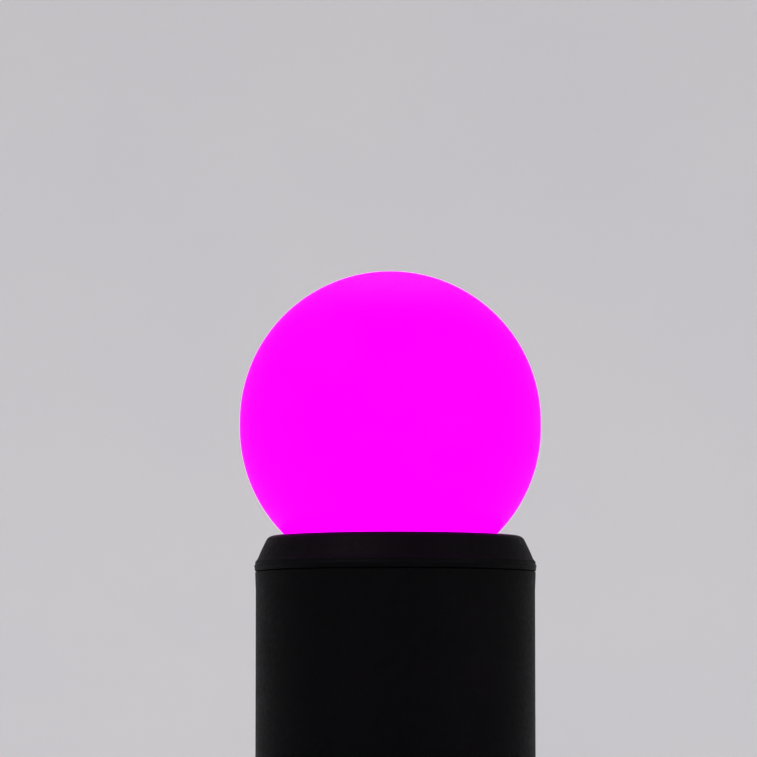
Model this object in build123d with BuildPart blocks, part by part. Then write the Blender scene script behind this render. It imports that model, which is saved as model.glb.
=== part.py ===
"""Smart colour bulb with an E27 screw cap, seated in its black table holder.

Millimetres, +Z up. The origin is on the bulb's own axis, on the surface that the holder's feet
stand on. The holder's cable entry is at the back, towards +Y. Each sub-part is one STEP file.
"""

import os
from math import atan2, cos, pi, sin, sqrt

from build123d import *

# ---------------------------------------------------------------- driving dimensions
# Globe
globe_radius = 30.0  # the usual 60 mm globe
globe_band = 1.2  # short cylinder between the two halves of the globe
globe_wall = 1.4

# Holder, outside
rim_z = 88.0  # top face of the collar
cup_radius = 27.75
cup_wall = 1.2
lip_radius = 28.05  # bead under the collar's chamfer
cup_offset = 1.0  # the cup's axis is this far to +X of the bulb's, as its slotted holes allow

# E27 screw thread, with the rolled round profile of the standard
thread_pitch = 3.629
thread_arc = 1.025  # radius of crest and root
cap_minor, cap_major = 12.02, 13.10
socket_minor, socket_major = 12.25, 13.35

# Heights that the rest hangs on
globe_above_rim = 21.65  # centre of the globe's lower half, over the rim
bulb_tip_z = 27.8  # end of the bulb's centre contact
contact_gap = 0.1  # between that and the plunger in the holder
base_plate_z = 2.6  # height of the feet
base_plate_thick = 2.0

# ---------------------------------------------------------------- worked-out places
globe_low_z = rim_z + globe_above_rim
globe_high_z = globe_low_z + globe_band
neck_radius = 19.5
neck_z = globe_low_z - sqrt(globe_radius**2 - neck_radius**2)

cup_section = Plane(origin=(cup_offset, 0, 0), x_dir=(1, 0, 0), z_dir=(0, -1, 0))
cup_axis = Axis((cup_offset, 0, 0), (0, 0, 1))

os.makedirs("parts", exist_ok=True)


def save(sub_part, label):
    """Labels a finished sub-part and writes its STEP file."""
    sub_part.part.label = label
    export_step(sub_part.part, f"parts/{label}.step")


def thread_ridge(minor, major, first_crest_z, turns):
    """One long right-handed ridge of the round thread, standing on the minor radius."""
    land = 0.05
    foot = 0.3
    base = minor + land
    root_x = minor + thread_arc
    half_foot = thread_pitch / 2 - sqrt(thread_arc**2 - (thread_arc - land) ** 2)
    z = first_crest_z
    low, high = (base, z - half_foot), (base, z + half_foot)
    mid = (minor + major) / 2
    low_mid, high_mid = (mid, z - thread_pitch / 4), (mid, z + thread_pitch / 4)

    def on_root(a, b, centre_z):
        """The middle of a root arc that runs from a to b."""
        start = atan2(a[1] - centre_z, a[0] - root_x) % (2 * pi)
        end = atan2(b[1] - centre_z, b[0] - root_x) % (2 * pi)
        turn = (start + end) / 2
        return (root_x + thread_arc * cos(turn), centre_z + thread_arc * sin(turn))

    with BuildPart() as ridge:
        with BuildLine() as path:
            Helix(pitch=thread_pitch, height=thread_pitch * turns, radius=minor, center=(0, 0, z))
        with BuildSketch(Plane.XZ):
            with BuildLine():
                Line((base - foot, z + half_foot), (base - foot, z - half_foot))
                Line((base - foot, z - half_foot), low)
                ThreePointArc(low, on_root(low, low_mid, z - thread_pitch / 2), low_mid)
                ThreePointArc(low_mid, (major, z), high_mid)
                ThreePointArc(high_mid, on_root(high_mid, high, z + thread_pitch / 2), high)
                Line(high, (base - foot, z + half_foot))
            make_face()
        sweep(path=path.wires()[0], is_frenet=True)
    return ridge.part


# ================================================================ THE BULB
# ---------------------------------------------------------------- globe
# Opal polycarbonate shell, moulded with a spigot that plugs into the housing.
spigot_outer, spigot_inner = 17.9, 16.7
spigot_low_z = 82.6
globe_inside = globe_radius - globe_wall
inside_neck_z = globe_low_z - sqrt(globe_inside**2 - spigot_inner**2)
with BuildPart() as globe:
    with BuildSketch(Plane.XZ):
        with BuildLine():
            Line((0, globe_high_z + globe_inside), (0, globe_high_z + globe_radius))
            RadiusArc(
                (0, globe_high_z + globe_radius), (globe_radius, globe_high_z), globe_radius
            )
            Line((globe_radius, globe_high_z), (globe_radius, globe_low_z))
            RadiusArc((globe_radius, globe_low_z), (neck_radius, neck_z), globe_radius)
            Polyline(
                (neck_radius, neck_z),
                (spigot_outer, neck_z),
                (spigot_outer, spigot_low_z),
                (spigot_inner, spigot_low_z),
                (spigot_inner, inside_neck_z),
            )
            RadiusArc((spigot_inner, inside_neck_z), (globe_inside, globe_low_z), -globe_inside)
            Line((globe_inside, globe_low_z), (globe_inside, globe_high_z))
            RadiusArc(
                (globe_inside, globe_high_z), (0, globe_high_z + globe_inside), -globe_inside
            )
        make_face()
    revolve(axis=Axis.Z)
save(globe, "globe_diffuser")

# ---------------------------------------------------------------- housing
# White moulded cone between the globe and the metal cap.
housing_top_radius = 20.0
housing_low_radius = 14.5
shoulder_z = bulb_tip_z + 26.5
cone_low_z = shoulder_z + 1.7
ledge_z = 82.0
ledge_radius = 17.2
cavity_low_radius = 13.2
cavity_low_z = 57.5
wire_bore = 11.0
cap_spigot_radius = 12.8
cap_spigot_z = 50.0
with BuildPart() as housing:
    with BuildSketch(Plane.XZ):
        with BuildLine():
            Polyline(
                (spigot_outer + 0.1, neck_z),
                (housing_top_radius, neck_z),
                (housing_low_radius, cone_low_z),
                (housing_low_radius, shoulder_z),
                (cap_spigot_radius, shoulder_z),
                (cap_spigot_radius, cap_spigot_z),
                (wire_bore, cap_spigot_z),
                (wire_bore, cavity_low_z - 0.5),
                (cavity_low_radius, cavity_low_z),
                (ledge_radius, ledge_z),
                (spigot_outer + 0.1, ledge_z),
                close=True,
            )
        make_face()
    revolve(axis=Axis.Z)
    rims = housing.edges().filter_by(GeomType.CIRCLE)
    top_rim = rims.filter_by(lambda e: abs(e.radius - housing_top_radius) < 0.01)
    low_rim = rims.filter_by(
        lambda e: abs(e.radius - housing_low_radius) < 0.01 and e.center().Z < cone_low_z - 0.5
    )
    fillet(top_rim + low_rim, radius=0.5)
save(housing, "bulb_housing")

# ---------------------------------------------------------------- globe seal
# Ring of silicone on the housing's ledge, under the globe's spigot.
with BuildPart() as seal:
    with BuildSketch(Plane.XY.offset(ledge_z)):
        Circle(spigot_outer)
        Circle(spigot_inner + 0.1, mode=Mode.SUBTRACT)
    extrude(amount=spigot_low_z - ledge_z)
save(seal, "globe_seal")

# ---------------------------------------------------------------- heat sink, pad and LED board
# A pressed aluminium cup lines the housing. The pad and the board lie on it, and all three have
# the same two slots: one for the header to the driver and one for the radio board.
sink_top_z = 80.0
sink_top_radius = 16.75
sink_low_z, sink_low_radius = 62.2, 13.85
sink_wall = 0.9
sink_roof = 1.2
pad_thick = 0.3
board_thick = 1.6
pad_radius, led_board_radius = 15.8, 16.4
led_board_z = sink_top_z + pad_thick
led_board_top = led_board_z + board_thick
header_slot = (9.0, 2.9)
header_y = -0.45
radio_slot = (14.8, 1.6)
radio_y = 10.0
led_screw_radius = 13.4
led_screw_angles = (35, 145)


def stack_openings(hole_radius):
    """Sketch of the two slots and the two screw holes that the stack shares."""
    with Locations((0, header_y)):
        Rectangle(*header_slot)
    with Locations((0, radio_y)):
        Rectangle(*radio_slot)
    for angle in led_screw_angles:
        with PolarLocations(led_screw_radius, 1, start_angle=angle):
            Circle(hole_radius)


with BuildPart() as heat_sink:
    with BuildSketch(Plane.XZ):
        with BuildLine():
            Polyline(
                (0, sink_top_z - sink_roof),
                (sink_top_radius - sink_wall, sink_top_z - sink_roof),
                (sink_low_radius - sink_wall, sink_low_z),
                (sink_low_radius, sink_low_z),
                (sink_top_radius, sink_top_z),
                (0, sink_top_z),
                close=True,
            )
        make_face()
    revolve(axis=Axis.Z)
    with BuildSketch(Plane.XY.offset(sink_top_z)):
        stack_openings(hole_radius=1.05)
    extrude(amount=-sink_roof, mode=Mode.SUBTRACT)
save(heat_sink, "heat_sink")

with BuildPart() as pad:
    with BuildSketch(Plane.XY.offset(sink_top_z)):
        Circle(pad_radius)
    extrude(amount=pad_thick)
    with BuildSketch(Plane.XY.offset(sink_top_z)):
        stack_openings(hole_radius=1.3)
    extrude(amount=pad_thick, mode=Mode.SUBTRACT)
save(pad, "thermal_pad")

with BuildPart() as led_board:
    with BuildSketch(Plane.XY.offset(led_board_z)):
        Circle(led_board_radius)
    extrude(amount=board_thick)
    with BuildSketch(Plane.XY.offset(led_board_z)):
        stack_openings(hole_radius=1.3)
    extrude(amount=board_thick, mode=Mode.SUBTRACT)
save(led_board, "led_board")


# Two arcs of LEDs: white ones round the outside, and colour ones inside them.
def led_arc(ring_radius, count, length, width, height):
    """LED packages evenly spaced over the part of the ring that the radio slot leaves free."""
    first, last = 170, 370
    step = (last - first) / (count - 1)
    with BuildPart() as leds:
        for n in range(count):
            with BuildSketch(Plane.XY.offset(led_board_top)):
                with PolarLocations(ring_radius, 1, start_angle=first + n * step):
                    Rectangle(width, length)
            extrude(amount=height * 0.8)
            with BuildSketch(Plane.XY.offset(led_board_top + height * 0.8)):
                with PolarLocations(ring_radius, 1, start_angle=first + n * step):
                    Circle(width * 0.42)
            extrude(amount=height * 0.2)
    return leds


white_leds = led_arc(ring_radius=12.8, count=10, length=3.5, width=2.8, height=0.8)
save(white_leds, "white_leds")
colour_leds = led_arc(ring_radius=7.2, count=6, length=3.2, width=2.8, height=1.0)
save(colour_leds, "colour_leds")

with BuildPart() as led_screws:
    for angle in led_screw_angles:
        with PolarLocations(led_screw_radius, 1, start_angle=angle):
            with Locations((0, 0, led_board_top)):
                Cylinder(2.1, 1.3, align=(Align.CENTER, Align.CENTER, Align.MIN))
                Cylinder(1.0, 4.5, align=(Align.CENTER, Align.CENTER, Align.MAX))
            with Locations((0, 0, led_board_top + 0.8)):
                Box(
                    2.8, 0.6, 1.0,
                    align=(Align.CENTER, Align.CENTER, Align.MIN),
                    mode=Mode.SUBTRACT,
                )
                Box(
                    0.6, 2.8, 1.0,
                    align=(Align.CENTER, Align.CENTER, Align.MIN),
                    mode=Mode.SUBTRACT,
                )
save(led_screws, "led_board_screws")

# ---------------------------------------------------------------- driver board and its parts
# An upright circuit board on the bulb's axis. Its front face is towards +Y.
driver_half_width = 10.0
driver_low_z, driver_top_z = 38.0, 77.5
driver_front_y = -0.8
driver_thick = 1.2
driver_back_y = driver_front_y - driver_thick
MIN_Z = (Align.CENTER, Align.CENTER, Align.MIN)
ON_FRONT = (Align.CENTER, Align.MIN, Align.MIN)
ON_BACK = (Align.CENTER, Align.MAX, Align.MIN)

with BuildPart() as driver_board:
    with Locations((0, driver_front_y, driver_low_z)):
        Box(
            2 * driver_half_width, driver_thick, driver_top_z - driver_low_z,
            align=(Align.CENTER, Align.MAX, Align.MIN),
        )
save(driver_board, "driver_board")

with BuildPart() as input_capacitor:
    with Locations((0, 3.6, 37.5)):
        Cylinder(4.0, 12.0, align=MIN_Z)
    fillet(input_capacitor.edges().filter_by(GeomType.CIRCLE), radius=0.5)
save(input_capacitor, "input_capacitor")

with BuildPart() as output_capacitor:
    with Locations((-5.8, 2.4, 51.5)):
        Cylinder(3.15, 9.0, align=MIN_Z)
    fillet(output_capacitor.edges().filter_by(GeomType.CIRCLE), radius=0.4)
save(output_capacitor, "output_capacitor")

with BuildPart() as varistor:
    with Locations((5.6, driver_front_y + 1.6, 55.4)):
        Cylinder(3.4, 3.0, rotation=(90, 0, 0))
    fillet(varistor.edges().filter_by(GeomType.CIRCLE), radius=0.9)
save(varistor, "surge_varistor")

with BuildPart() as fuse_resistor:
    with Locations((6.5, driver_front_y + 1.7, 40.0)):
        Cylinder(1.6, 8.0, align=MIN_Z)
    fillet(fuse_resistor.edges().filter_by(GeomType.CIRCLE), radius=0.5)
save(fuse_resistor, "fuse_resistor")

choke_x, choke_y, choke_z = -6.6, 2.4, 40.0
with BuildPart() as choke:
    with Locations((choke_x, choke_y, choke_z)):
        Cylinder(2.5, 1.0, align=MIN_Z)
    with Locations((choke_x, choke_y, choke_z + 1.0)):
        Cylinder(2.15, 4.6, align=MIN_Z)
    with Locations((choke_x, choke_y, choke_z + 5.6)):
        Cylinder(2.5, 1.0, align=MIN_Z)
save(choke, "filter_choke")

# Transformer: a ferrite frame with legs at both sides, and the taped winding between them.
core_x, core_z = 1.0, 63.0
core_width, core_depth, core_height = 11.0, 8.6, 11.0
leg = 1.9
with BuildPart() as transformer_core:
    with Locations((core_x, driver_front_y + 0.1, core_z)):
        Box(core_width, core_depth, core_height, align=ON_FRONT)
    with Locations((core_x, driver_front_y, core_z + leg)):
        Box(
            core_width - 2 * leg, core_depth + 1, core_height - 2 * leg,
            align=ON_FRONT,
            mode=Mode.SUBTRACT,
        )
save(transformer_core, "transformer_core")

with BuildPart() as transformer_coil:
    with Locations((core_x, driver_front_y + 0.6, core_z + leg)):
        Box(core_width - 2 * leg, core_depth - 1, core_height - 2 * leg, align=ON_FRONT)
    fillet(transformer_coil.edges().filter_by(Axis.Z), radius=2.0)
save(transformer_coil, "transformer_coil")

with BuildPart() as bridge_rectifier:
    with Locations((0, driver_back_y, 43.5)):
        Box(4.7, 1.6, 3.9, align=ON_BACK)
    chamfer(bridge_rectifier.faces().sort_by(Axis.Y)[0].edges(), length=0.3)
save(bridge_rectifier, "bridge_rectifier")

with BuildPart() as control_chip:
    with Locations((-2.5, driver_back_y, 58.0)):
        Box(4.9, 1.5, 3.9, align=ON_BACK)
    chamfer(control_chip.faces().sort_by(Axis.Y)[0].edges(), length=0.3)
save(control_chip, "control_chip")

# Header that joins the driver to the LED board: a block on the board, and pins down through it.
header_pin_count, header_pitch, pin_width = 4, 2.0, 0.6
with BuildPart() as header:
    with Locations((0, header_y, led_board_top)):
        Box(8.0, 2.5, 2.5, align=MIN_Z)
    with GridLocations(header_pitch, 1, header_pin_count, 1):
        with Locations((0, header_y, driver_top_z - 2.9)):
            Box(pin_width, pin_width, led_board_top - driver_top_z + 3.4, align=MIN_Z)
save(header, "board_header")

# ---------------------------------------------------------------- radio board
# A small upright board that carries the aerial up through the LED board into the globe.
radio_half_width = 7.0
radio_thick = 0.8
radio_low_z, radio_top_z = 67.0, 93.0
radio_front_y = radio_y + radio_thick / 2
with BuildPart() as radio_board:
    with Locations((0, radio_y, radio_low_z)):
        Box(2 * radio_half_width, radio_thick, radio_top_z - radio_low_z, align=MIN_Z)
save(radio_board, "radio_board")

with BuildPart() as radio_shield:
    with Locations((0, radio_front_y, 69.5)):
        Box(9.0, 1.6, 8.5, align=ON_FRONT)
    fillet(radio_shield.faces().sort_by(Axis.Y)[-1].edges(), radius=0.3)
save(radio_shield, "radio_shield")

# The aerial is a copper track that runs to and fro across the top of the board.
track_width, track_thick = 0.7, 0.1
track_pitch = 1.7
track_low_z, track_count = 84.6, 5
track_length = 11.0
with BuildPart() as aerial:
    for n in range(track_count):
        z = track_low_z + n * track_pitch
        with Locations((0, radio_front_y, z)):
            Box(track_length, track_thick, track_width, align=ON_FRONT)
        if n < track_count - 1:
            side = 1 if n % 2 else -1
            with Locations((side * (track_length - track_width) / 2, radio_front_y, z)):
                Box(track_width, track_thick, track_pitch + track_width, align=ON_FRONT)
save(aerial, "radio_aerial")

with BuildPart() as radio_pins:
    for x in (-6.4, -5.1, 5.1, 6.4):
        with Locations((x, driver_front_y, 75.4)):
            Box(0.6, radio_y - radio_thick / 2 - driver_front_y, 0.6, align=ON_FRONT)
save(radio_pins, "radio_pins")

# ---------------------------------------------------------------- E27 cap
# Nickel-plated brass shell: rolled thread, plain skirt crimped onto the housing, tapered end.
cap_low_z = bulb_tip_z + 3.6
skirt_z = bulb_tip_z + 21.5
skirt_radius, skirt_inside = 13.3, 12.85
cap_bore = 11.6
core_radius = cap_minor + 0.09
first_crest_z = bulb_tip_z + 4.2
cap_ridge = thread_ridge(cap_minor, cap_major, first_crest_z, turns=5.2)
seam_turn = 140  # keeps the cylinder's seam away from the start of the ridge
with BuildPart() as cap_shell:
    with Locations((0, 0, cap_low_z - 2)):
        Cylinder(core_radius, skirt_z - cap_low_z + 4, rotation=(0, 0, seam_turn), align=MIN_Z)
    add(cap_ridge)
    with BuildSketch(Plane.XZ):
        with BuildLine():
            Polyline(
                (0, cap_low_z),
                (10.4, cap_low_z),
                (12.0, cap_low_z + 1.6),
                (13.6, cap_low_z + 3.8),
                (13.6, skirt_z + 0.1),
                (0, skirt_z + 0.1),
                close=True,
            )
        make_face()
    revolve(axis=Axis.Z, mode=Mode.INTERSECT)
    with Locations((0, 0, skirt_z)):
        Cylinder(skirt_radius, shoulder_z - skirt_z, rotation=(0, 0, seam_turn / 2), align=MIN_Z)
    with BuildSketch(Plane.XZ):
        with BuildLine():
            Polyline(
                (0, cap_low_z - 1),
                (9.7, cap_low_z - 1),
                (9.7, cap_low_z + 0.5),
                (cap_bore, cap_low_z + 2.4),
                (cap_bore, cap_spigot_z - 0.2),
                (skirt_inside, cap_spigot_z - 0.2),
                (skirt_inside, shoulder_z + 1),
                (0, shoulder_z + 1),
                close=True,
            )
        make_face()
    revolve(axis=Axis.Z, mode=Mode.SUBTRACT)
    # Eight crimp marks pin the skirt to the plastic.
    with Locations((0, 0, skirt_z + 3.0)):
        with PolarLocations(skirt_radius + 0.8, 8):
            Sphere(1.0, mode=Mode.SUBTRACT)
save(cap_shell, "cap_shell")

# Black glass insulator at the cap's end, and the centre contact riveted through it.
contact_radius, contact_thick = 4.8, 1.0
insulator_z = bulb_tip_z + contact_thick
with BuildPart() as insulator:
    with BuildSketch(Plane.XZ):
        with BuildLine():
            Polyline(
                (1.6, insulator_z),
                (5.4, insulator_z),
                (9.6, cap_low_z),
                (9.6, cap_low_z + 1.2),
                (1.6, cap_low_z + 1.2),
                close=True,
            )
        make_face()
    revolve(axis=Axis.Z)
save(insulator, "cap_insulator")

contact_top_z = bulb_tip_z + 6.2
with BuildPart() as contact:
    with Locations((0, 0, bulb_tip_z)):
        Cylinder(contact_radius, contact_thick, align=MIN_Z)
    fillet(contact.edges().sort_by(Axis.Z)[0], radius=0.6)
    with Locations((0, 0, insulator_z)):
        Cylinder(1.5, contact_top_z - insulator_z, align=MIN_Z)
save(contact, "cap_contact")

# ---------------------------------------------------------------- leads from the driver to the cap
lead_radius = 0.6
lead_y = driver_front_y + lead_radius
with BuildPart() as centre_lead:
    with BuildLine():
        FilletPolyline(
            (3.0, lead_y, 41.0), (3.0, lead_y, 37.2), (0, 0, 36.6), (0, 0, contact_top_z + 0.3),
            radius=1.0,
        )
    with BuildSketch(Plane(origin=(3.0, lead_y, 41.0), z_dir=(0, 0, -1))):
        Circle(lead_radius)
    sweep()
save(centre_lead, "centre_lead")

with BuildPart() as shell_lead:
    with BuildLine():
        FilletPolyline(
            (-8.7, lead_y, 52.0), (-8.7, lead_y, 48.0), (-cap_bore + 0.2, lead_y, 47.2), radius=1.3
        )
    with BuildSketch(Plane(origin=(-8.7, lead_y, 52.0), z_dir=(0, 0, -1))):
        Circle(lead_radius)
    sweep()
save(shell_lead, "shell_lead")

# ================================================================ THE HOLDER
# ---------------------------------------------------------------- collar
# Turned ring with a chamfered top, a bead under the chamfer, and a spigot down into the cup.
collar_bore = 23.4
collar_low_z = rim_z - 7.0
chamfer_foot = (27.40, rim_z - 4.55)
chamfer_head = (25.43, rim_z)
collar_spigot = cup_radius - cup_wall - 0.1
with BuildPart() as collar:
    with BuildSketch(cup_section) as collar_section:
        with BuildLine():
            Polyline(
                (collar_bore, rim_z),
                chamfer_head,
                chamfer_foot,
                (27.86, rim_z - 5.05),
                (lip_radius, rim_z - 5.7),
                (lip_radius, rim_z - 6.4),
                (lip_radius - 0.1, collar_low_z),
                (collar_spigot, collar_low_z),
                (collar_spigot, collar_low_z - 5.0),
                (25.0, collar_low_z - 5.0),
                (25.0, rim_z - 5.5),
                (collar_bore, rim_z - 2.6),
                close=True,
            )
        make_face()
        fillet(collar_section.vertices().group_by(Axis.Y)[-1].sort_by(Axis.X)[-1], radius=1.5)
        fillet(collar_section.vertices().group_by(Axis.Y)[-1].sort_by(Axis.X)[0], radius=0.4)
    revolve(axis=cup_axis)
save(collar, "holder_collar")

# ---------------------------------------------------------------- cup
# Drawn aluminium tube. Its top edge is swaged out a little, to meet the bead.
cup_top_z = collar_low_z - 0.15
cup_low_z = 19.15
with BuildPart() as cup:
    with BuildSketch(cup_section):
        with BuildLine():
            Polyline(
                (cup_radius - cup_wall, cup_low_z),
                (cup_radius, cup_low_z),
                (cup_radius, rim_z - 10.9),
                (lip_radius - 0.14, cup_top_z),
                (cup_radius - cup_wall, cup_top_z),
                close=True,
            )
        make_face()
    revolve(axis=cup_axis)
save(cup, "holder_cup")

# ---------------------------------------------------------------- base ring
# Heavy cast ring that keeps the holder upright, with the cable's hole through its back.
ring_low_z, ring_top_z = 2.0, 19.0
ring_inside = 20.5
plate_radius = 25.4
plate_top_z = base_plate_z + base_plate_thick
cable_z = 10.0
spot_face_y = 26.8
cable_plane = Plane(origin=(cup_offset, 0, cable_z), x_dir=(-1, 0, 0), z_dir=(0, 1, 0))
base_screw_circle, foot_circle = 22.6, 21.0
base_screw_angles = (30, 150, 270)
foot_angles = (90, 210, 330)
with BuildPart() as base_ring:
    with BuildSketch(cup_section):
        with BuildLine():
            Polyline(
                (ring_inside, plate_top_z),
                (plate_radius + 0.2, plate_top_z),
                (plate_radius + 0.2, ring_low_z),
                (cup_radius - 0.6, ring_low_z),
                (cup_radius, ring_low_z + 0.6),
                (cup_radius, ring_top_z),
                (cup_radius - cup_wall - 0.15, ring_top_z),
                (cup_radius - cup_wall - 0.15, ring_top_z + 4.0),
                (22.5, ring_top_z + 4.0),
                (ring_inside, ring_top_z + 2.0),
                close=True,
            )
        make_face()
    revolve(axis=cup_axis)
    with BuildSketch(cable_plane.offset(ring_inside - 3)):
        Circle(4.7)
    extrude(amount=12, mode=Mode.SUBTRACT)
    with BuildSketch(cable_plane.offset(spot_face_y)):
        Circle(6.6)
    extrude(amount=4, mode=Mode.SUBTRACT)
    for angle in base_screw_angles:
        with Locations((cup_offset, 0, plate_top_z)):
            with PolarLocations(base_screw_circle, 1, start_angle=angle):
                Cylinder(1.3, 7.0, align=MIN_Z, mode=Mode.SUBTRACT)
save(base_ring, "base_ring")

# ---------------------------------------------------------------- base plate
# Steel plate with a tapped boss in its middle, and two slots that let the socket float.
boss_radius, boss_height = 7.5, 5.0
tapped_radius = 4.46  # minor radius of an M10 x 1 thread
post_x = 16.0
with BuildPart() as base_plate:
    with BuildSketch(Plane.XY.offset(base_plate_z)):
        with Locations((cup_offset, 0)):
            Circle(plate_radius)
            Circle(tapped_radius, mode=Mode.SUBTRACT)
            with Locations((post_x - cup_offset, 0), (-post_x - cup_offset, 0)):
                SlotOverall(6.4, 3.4, mode=Mode.SUBTRACT)
        for angle in base_screw_angles:
            with Locations((cup_offset, 0)):
                with PolarLocations(base_screw_circle, 1, start_angle=angle):
                    Circle(1.6, mode=Mode.SUBTRACT)
        with Locations((-11, -9)):
            Circle(1.6, mode=Mode.SUBTRACT)
    extrude(amount=base_plate_thick)
    with BuildSketch(Plane.XY.offset(plate_top_z)):
        with Locations((cup_offset, 0)):
            Circle(boss_radius)
            Circle(tapped_radius, mode=Mode.SUBTRACT)
    extrude(amount=boss_height)
save(base_plate, "base_plate")


def pan_head_screws(places, head_z, up, head_radius, shank_radius, shank_length):
    """A group of cross-slotted pan-head screws; up is 1 where the shank points up, else -1."""
    head_thick = 1.7
    shank_align = Align.MIN if up > 0 else Align.MAX
    head_align = Align.MAX if up > 0 else Align.MIN
    with BuildPart() as screws:
        for x, y in places:
            with Locations((x, y, head_z)):
                Cylinder(
                    shank_radius, shank_length, align=(Align.CENTER, Align.CENTER, shank_align)
                )
                Cylinder(head_radius, head_thick, align=(Align.CENTER, Align.CENTER, head_align))
            with Locations((x, y, head_z - up * (head_thick - 0.9))):
                for long_x, long_y in ((3.2, 0.7), (0.7, 3.2)):
                    Box(
                        long_x, long_y, 1.5,
                        align=(Align.CENTER, Align.CENTER, head_align),
                        mode=Mode.SUBTRACT,
                    )
    return screws


def on_circle(circle, angles):
    """Places on a circle round the cup's axis, in the frame's X and Y."""
    return [
        (cup_offset + circle * cos(a * pi / 180), circle * sin(a * pi / 180)) for a in angles
    ]


base_screws = pan_head_screws(
    on_circle(base_screw_circle, base_screw_angles), base_plate_z, 1, 2.5, 1.2, 8.0
)
save(base_screws, "base_screws")

post_screws = pan_head_screws(
    [(post_x, 0), (-post_x, 0)], base_plate_z, 1, 2.7, 1.15, 6.5
)
save(post_screws, "post_screws")

with BuildPart() as feet:
    for x, y in on_circle(foot_circle, foot_angles):
        with Locations((x, y, 0)):
            Cylinder(4.3, base_plate_z, align=MIN_Z)
    fillet(feet.edges().group_by(Axis.Z)[0], radius=0.6)
save(feet, "rubber_feet")

# ---------------------------------------------------------------- cable grommet
# Rubber bush with a flange on each side of the ring's wall. The cable goes through its bore.
grommet_bore = 3.2
grommet_in_y, grommet_out_y = 18.0, 28.4
grommet_section = Plane(origin=(cup_offset, 0, cable_z), x_dir=(0, 0, 1), z_dir=(1, 0, 0))
with BuildPart() as grommet:
    with BuildSketch(grommet_section):
        with BuildLine():
            Polyline(
                (grommet_bore, -grommet_in_y),
                (5.2, -grommet_in_y),
                (5.2, -19.6),
                (4.6, -19.6),
                (4.6, -spot_face_y),
                (6.3, -spot_face_y),
                (6.3, -grommet_out_y + 0.5),
                (5.8, -grommet_out_y),
                (grommet_bore, -grommet_out_y),
                close=True,
            )
        make_face()
    revolve(axis=Axis((cup_offset, 0, cable_z), (0, 1, 0)))
save(grommet, "cable_grommet")

# ---------------------------------------------------------------- socket
# Glazed ceramic body. The screw shell stands in its bore, and the terminals under its floor.
ceramic_radius, ceramic_bore = 18.0, 14.15
ceramic_low_z, ceramic_top_z = 12.0, 50.5
floor_low_z, floor_top_z = 15.0, 25.3
plunger_bore = 5.0
recess_radius = 13.9
rivet_y = 10.5
terminal_x = 11.0
with BuildPart() as socket_body:
    with BuildSketch(Plane.XZ):
        with BuildLine():
            Polyline(
                (plunger_bore, floor_low_z),
                (recess_radius, floor_low_z),
                (recess_radius, ceramic_low_z),
                (ceramic_radius, ceramic_low_z),
                (ceramic_radius, ceramic_top_z),
                (ceramic_bore, ceramic_top_z),
                (ceramic_bore, floor_top_z),
                (plunger_bore, floor_top_z),
                close=True,
            )
        make_face()
    revolve(axis=Axis.Z)
    fillet(socket_body.edges().group_by(Axis.Z)[-1], radius=0.9)
    with Locations((0, rivet_y, floor_top_z), (0, -rivet_y, floor_top_z)):
        Hole(1.3, depth=floor_top_z - floor_low_z)
    with Locations((terminal_x, 0, floor_low_z), (-terminal_x, 0, floor_low_z)):
        Cylinder(1.35, 6.5, align=MIN_Z, mode=Mode.SUBTRACT)
    with Locations((post_x, 0, ceramic_low_z), (-post_x, 0, ceramic_low_z)):
        Cylinder(1.6, 7.0, align=MIN_Z, mode=Mode.SUBTRACT)
save(socket_body, "socket_body")

# Brass screw shell, open at the top, with a riveted flange at its foot.
shell_outside = 14.0
shell_flange_thick = 0.7
shell_top_z = bulb_tip_z + 20.5
socket_core = socket_minor + 0.09
socket_ridge = thread_ridge(
    socket_minor, socket_major, first_crest_z - thread_pitch, turns=7.2
)
with BuildPart() as screw_shell:
    with Locations((0, 0, floor_top_z)):
        Cylinder(
            shell_outside, shell_top_z - floor_top_z, rotation=(0, 0, seam_turn), align=MIN_Z
        )
    with Locations((0, 0, floor_top_z + shell_flange_thick)):
        Cylinder(socket_core, 40, rotation=(0, 0, seam_turn), align=MIN_Z, mode=Mode.SUBTRACT)
    add(socket_ridge, mode=Mode.SUBTRACT)
    with Locations((0, 0, floor_top_z)):
        Cylinder(7.0, 2, mode=Mode.SUBTRACT)
    with Locations((0, rivet_y, floor_top_z), (0, -rivet_y, floor_top_z)):
        Cylinder(1.3, 2, mode=Mode.SUBTRACT)
save(screw_shell, "screw_shell")

# Terminals: a strip under the plunger's spring, and a curved plate riveted to the shell.
strip_thick = 0.8
strip_low_z = floor_low_z - strip_thick
with BuildPart() as centre_terminal:
    with BuildSketch(Plane.XY.offset(strip_low_z)):
        with Locations((-3.7, 0)):
            RectangleRounded(18.4, 8.0, 0.8)
        Circle(1.9, mode=Mode.SUBTRACT)
        with Locations((-terminal_x, 0)):
            Circle(1.35, mode=Mode.SUBTRACT)
    extrude(amount=strip_thick)
save(centre_terminal, "centre_terminal")

with BuildPart() as shell_terminal:
    with BuildSketch(Plane.XY.offset(strip_low_z)):
        with BuildLine():
            CenterArc((0, 0), 13.4, -105, 120)
            CenterArc((0, 0), 8.2, -105, 120)
            for turn in (-105, 15):
                c, s = cos(turn * pi / 180), sin(turn * pi / 180)
                Line((8.2 * c, 8.2 * s), (13.4 * c, 13.4 * s))
        make_face()
        with Locations((terminal_x, 0)):
            Circle(1.35, mode=Mode.SUBTRACT)
        with Locations((0, -rivet_y)):
            Circle(1.3, mode=Mode.SUBTRACT)
    extrude(amount=strip_thick)
save(shell_terminal, "shell_terminal")

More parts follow.
